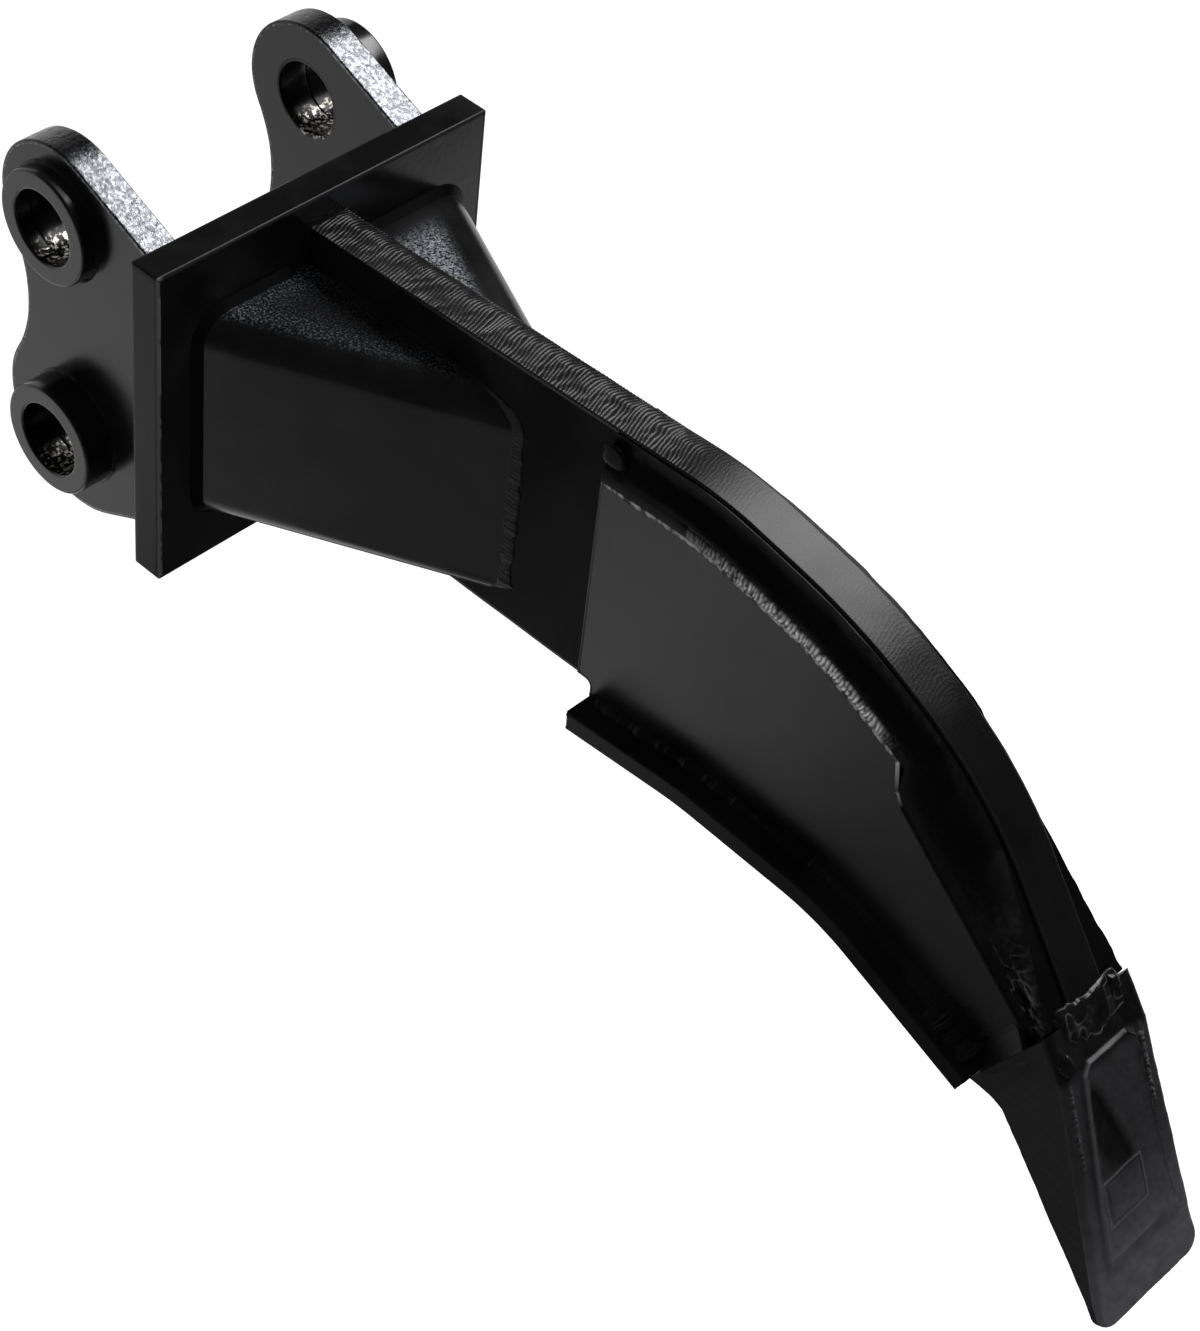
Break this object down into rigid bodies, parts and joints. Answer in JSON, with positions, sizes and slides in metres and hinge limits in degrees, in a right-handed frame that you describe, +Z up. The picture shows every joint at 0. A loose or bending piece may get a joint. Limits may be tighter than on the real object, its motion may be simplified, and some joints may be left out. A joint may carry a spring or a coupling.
{
  "type": "ripper shank tooth",
  "caption": "Welded excavator ripper: two pin ears and collars behind a base plate, boxed root, curved shank with cheeks and wear strip, flared chisel tooth.",
  "frame": {"origin": "on the stick pin's axis, half way between the two ears", "axes": "+X from the base plate towards the tooth, +Y along the pin axes, +Z up along the base plate towards the link pin"},
  "size_m": [0.461, 0.1412, 0.204],
  "materials": {
    "plate_paint": "gloss black paint on rolled plate",
    "collar_paint": "gloss black paint on turned steel",
    "shank_paint": "gloss black paint on flame-cut plate",
    "box_paint": "gloss black paint on folded sheet",
    "cheek_paint": "satin black paint on rolled plate",
    "strip_paint": "satin black paint on flat bar",
    "tooth_paint": "satin black paint on forged steel",
    "weld_paint": "gloss black paint over weld beads"
  },
  "bodies": {
    "root": {"base_plate": "plate_paint", "ear_right": "plate_paint", "ear_left": "plate_paint", "collar_link_right": "collar_paint", "collar_link_left": "collar_paint", "collar_stick_right": "collar_paint", "collar_stick_left": "collar_paint", "shank": "shank_paint", "side_box_right": "box_paint", "side_box_left": "box_paint", "cheek_right": "cheek_paint", "cheek_left": "cheek_paint", "wear_strip": "strip_paint", "tooth": "tooth_paint", "weld_collar_link_right": "weld_paint", "weld_collar_link_left": "weld_paint", "weld_collar_stick_right": "weld_paint", "weld_collar_stick_left": "weld_paint", "weld_ear_outer_right": "weld_paint", "weld_ear_inner_right": "weld_paint", "weld_ear_outer_left": "weld_paint", "weld_ear_inner_left": "weld_paint", "weld_box_plate_right": "weld_paint", "weld_box_plate_left": "weld_paint", "weld_box_shank_right": "weld_paint", "weld_box_shank_left": "weld_paint", "weld_shank_top": "weld_paint", "weld_shank_under": "weld_paint", "weld_cheek_right": "weld_paint", "weld_cheek_left": "weld_paint", "weld_strip_right": "weld_paint", "weld_strip_left": "weld_paint", "weld_tooth": "weld_paint"}
  },
  "joints": []
}
